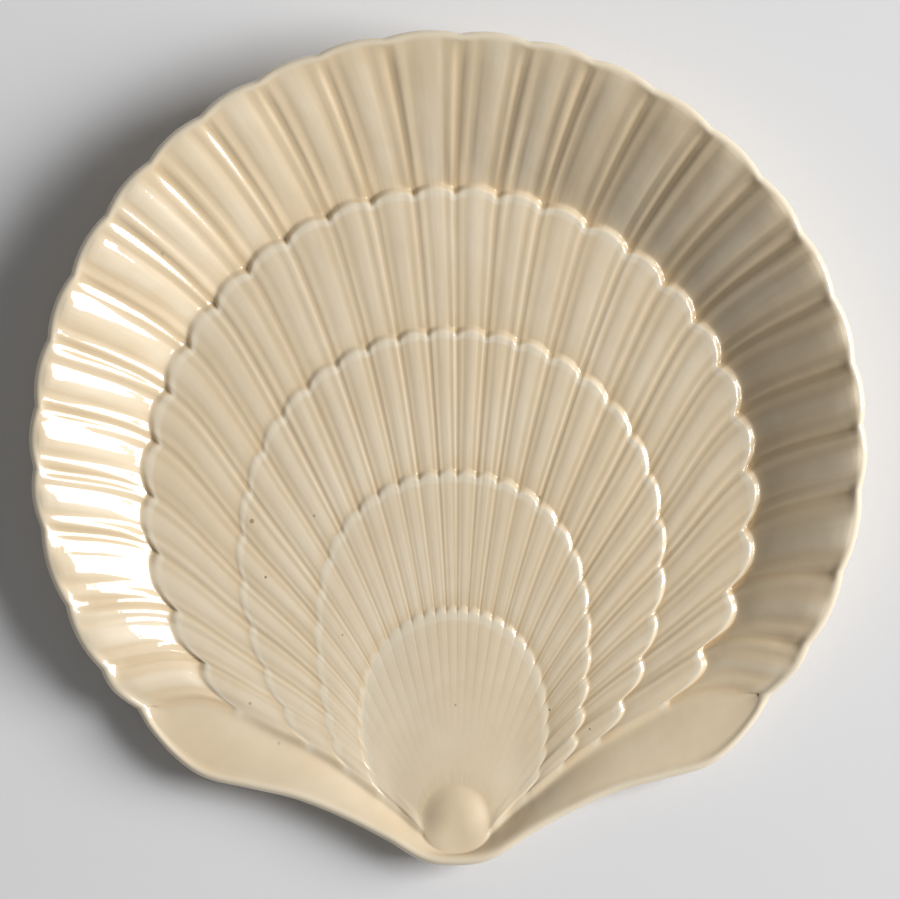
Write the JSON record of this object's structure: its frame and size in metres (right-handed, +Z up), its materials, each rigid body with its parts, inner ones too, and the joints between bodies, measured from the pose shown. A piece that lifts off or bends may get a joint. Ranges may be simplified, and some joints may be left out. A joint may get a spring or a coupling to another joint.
{
  "type": "salad plate",
  "caption": "Scallop-shell salad plate in cream glazed earthenware, with fanned ribs in overlapping tiers and a button at the hinge.",
  "frame": {"origin": "on the table plane that the foot ring rests on, under the centre of the plate's bounding box", "axes": "+Z up out of the well, +Y from the hinge button to the crest of the fan, +X to the right of someone looking down with the hinge nearest"},
  "size_m": [0.2088, 0.2092, 0.0265],
  "materials": {
    "cream_glaze": "gloss"
  },
  "bodies": {
    "root": {"plate": "cream_glaze"}
  },
  "joints": []
}
